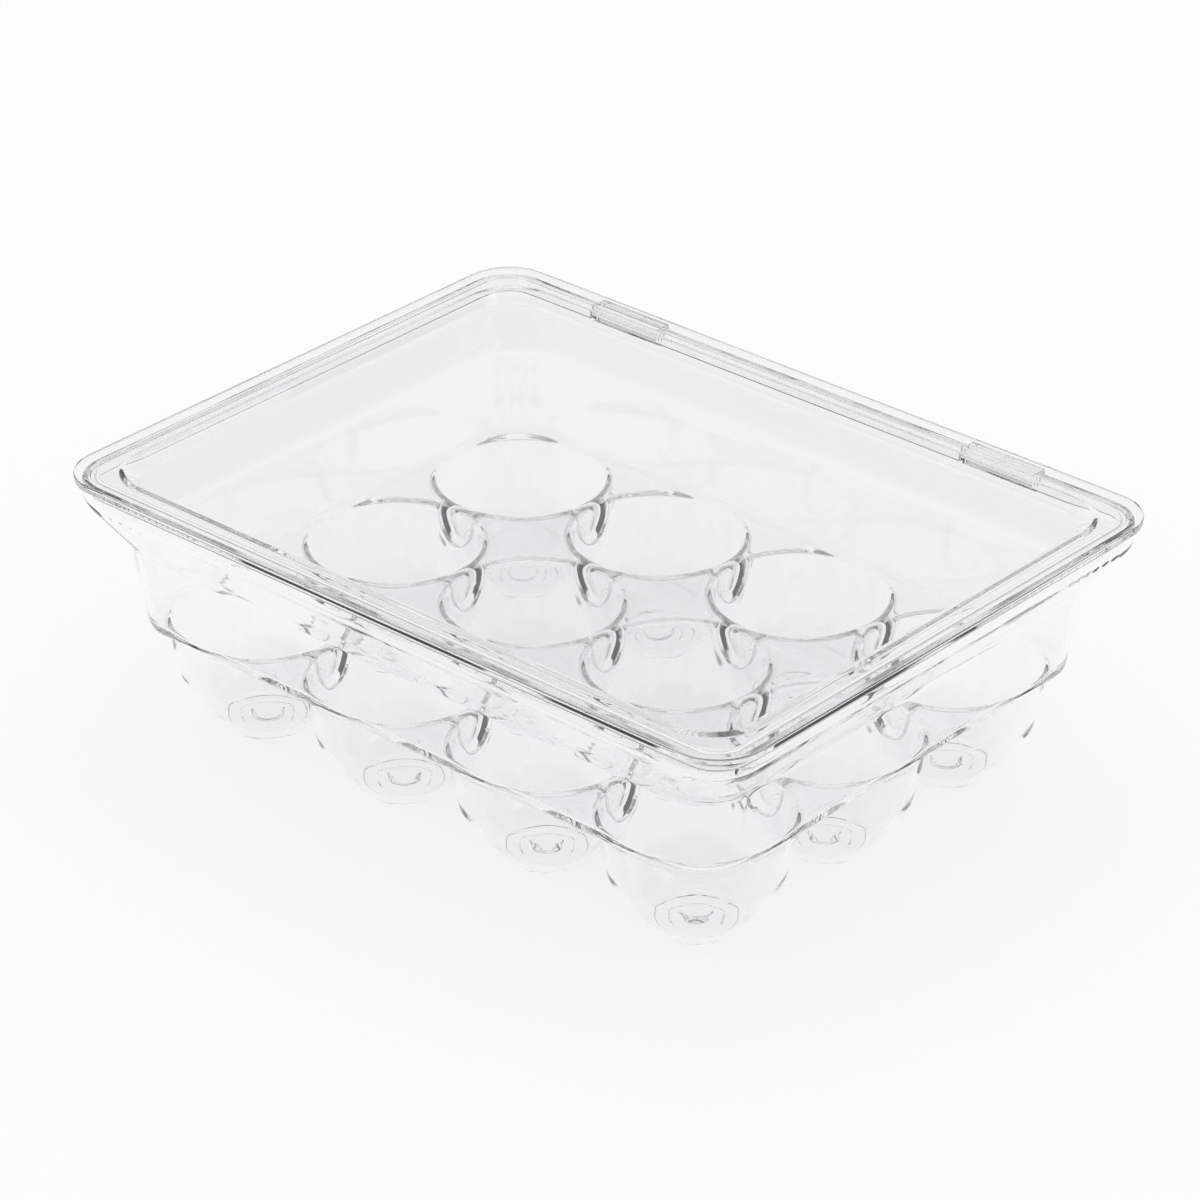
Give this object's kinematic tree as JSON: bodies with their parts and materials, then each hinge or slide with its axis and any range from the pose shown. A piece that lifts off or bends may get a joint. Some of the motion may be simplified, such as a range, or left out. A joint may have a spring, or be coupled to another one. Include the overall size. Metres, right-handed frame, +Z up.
{
  "type": "egg keeper with flip lid",
  "caption": "Clear plastic egg keeper: a tray of round egg cups joined by U-shaped webs, with flared walls and a hinged lid with a flat flange round a sunken panel.",
  "frame": {"origin": "on the surface the keeper stands on, under the centre of the tray", "axes": "+X along the rows of four cups, +Y towards the hinge side, +Z up"},
  "size_m": [0.237, 0.1802, 0.0779],
  "materials": {
    "clear_plastic": "clear, glossy"
  },
  "bodies": {
    "tray": {"egg_cup_a1": "clear_plastic", "egg_cup_a2": "clear_plastic", "egg_cup_a3": "clear_plastic", "egg_cup_a4": "clear_plastic", "egg_cup_b1": "clear_plastic", "egg_cup_b2": "clear_plastic", "egg_cup_b3": "clear_plastic", "egg_cup_b4": "clear_plastic", "egg_cup_c1": "clear_plastic", "egg_cup_c2": "clear_plastic", "egg_cup_c3": "clear_plastic", "egg_cup_c4": "clear_plastic", "tray_wall_front": "clear_plastic", "tray_wall_right": "clear_plastic", "tray_wall_back": "clear_plastic", "tray_wall_left": "clear_plastic", "hinge_rod_left": "clear_plastic", "hinge_rod_right": "clear_plastic"},
    "lid": {"lid_rim": "clear_plastic", "lid_panel": "clear_plastic", "lid_rib_long": "clear_plastic", "lid_rib_back": "clear_plastic", "lid_clip_left": "clear_plastic", "lid_clip_right": "clear_plastic"}
  },
  "joints": [
    {"name": "lid_hinge", "type": "hinge", "parent": "tray", "child": "lid", "pos_m": [0, 0.0871, 0.074], "axis": [-1, 0, 0], "range_deg": [0, 100]}
  ]
}
